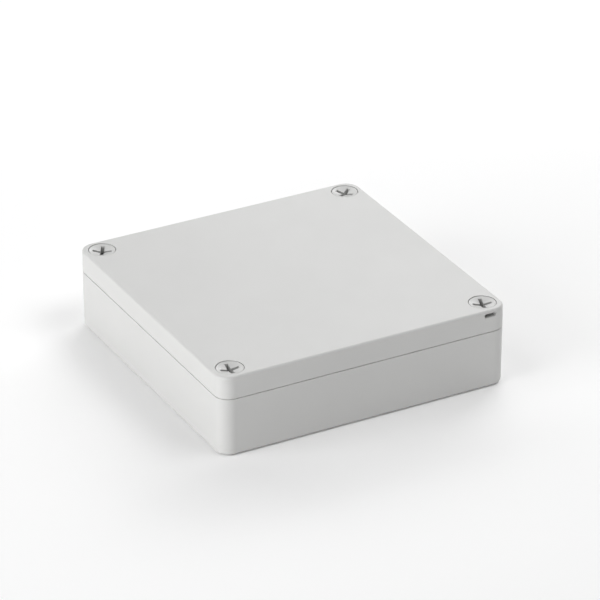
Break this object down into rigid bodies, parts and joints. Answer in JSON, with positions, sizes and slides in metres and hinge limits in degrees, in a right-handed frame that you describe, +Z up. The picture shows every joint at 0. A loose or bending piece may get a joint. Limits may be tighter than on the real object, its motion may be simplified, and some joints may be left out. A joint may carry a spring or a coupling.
{
  "type": "plastic project box",
  "caption": "Square plastic project box: a shallow moulded base and a flat lid with a foam seal, closed by captive plastic corner screws, with wall-fixing holes in corner wells outside the seal.",
  "frame": {"origin": "centre of the base's flat underside", "axes": "+Z up through the lid, -Y towards the front face with the lead-seal slot, +X to the right seen from the front"},
  "size_m": [0.13, 0.13, 0.0354],
  "materials": {
    "housing": "light grey moulded plastic, fine semi-matt surface",
    "screw_plastic": "light grey moulded plastic, smooth semi-matt",
    "seal_foam": "dark grey foamed seal, matt"
  },
  "bodies": {
    "base": {"base": "housing"},
    "lid": {"lid": "housing", "seal": "seal_foam"},
    "lid_screw_front_left": {"lid_screw_front_left": "screw_plastic"},
    "lid_screw_front_right": {"lid_screw_front_right": "screw_plastic"},
    "lid_screw_back_left": {"lid_screw_back_left": "screw_plastic"},
    "lid_screw_back_right": {"lid_screw_back_right": "screw_plastic"}
  },
  "joints": [
    {"name": "lid_lift", "type": "slide", "parent": "base", "child": "lid", "axis": [0, 0, 1], "range_m": [0, 0.06]},
    {"name": "screw_turn_front_left", "type": "hinge", "parent": "lid", "child": "lid_screw_front_left", "pos_m": [-0.05725, -0.05725, 0.035], "axis": [0, 0, 1], "range_deg": [0, 828]},
    {"name": "screw_turn_front_right", "type": "hinge", "parent": "lid", "child": "lid_screw_front_right", "pos_m": [0.05725, -0.05725, 0.035], "axis": [0, 0, 1], "range_deg": [0, 828]},
    {"name": "screw_turn_back_left", "type": "hinge", "parent": "lid", "child": "lid_screw_back_left", "pos_m": [-0.05725, 0.05725, 0.035], "axis": [0, 0, 1], "range_deg": [0, 828]},
    {"name": "screw_turn_back_right", "type": "hinge", "parent": "lid", "child": "lid_screw_back_right", "pos_m": [0.05725, 0.05725, 0.035], "axis": [0, 0, 1], "range_deg": [0, 828]}
  ]
}
